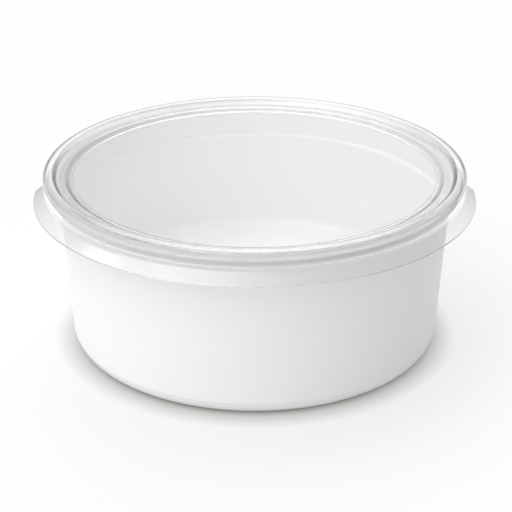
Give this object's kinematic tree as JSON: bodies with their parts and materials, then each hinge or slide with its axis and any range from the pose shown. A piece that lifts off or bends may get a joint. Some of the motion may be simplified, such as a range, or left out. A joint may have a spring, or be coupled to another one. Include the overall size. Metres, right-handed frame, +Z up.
{
  "type": "sauce portion cup with lid",
  "caption": "Round thin-walled white portion cup, shut by a clear lid that clips over its rim and flares out in a skirt; holds a small serving of sauce.",
  "frame": {"origin": "centre of the foot ring, on the plane the cup stands on", "axes": "+Z up along the axis that the cup and the lid turn about; X and Y are any two directions across it"},
  "size_m": [0.09, 0.09, 0.0369],
  "materials": {
    "cup_plastic": "smooth satin, opaque white polypropylene",
    "lid_plastic": "smooth, clear and colourless thin sheet"
  },
  "bodies": {
    "root": {"cup": "cup_plastic", "lid": "lid_plastic"}
  },
  "joints": []
}
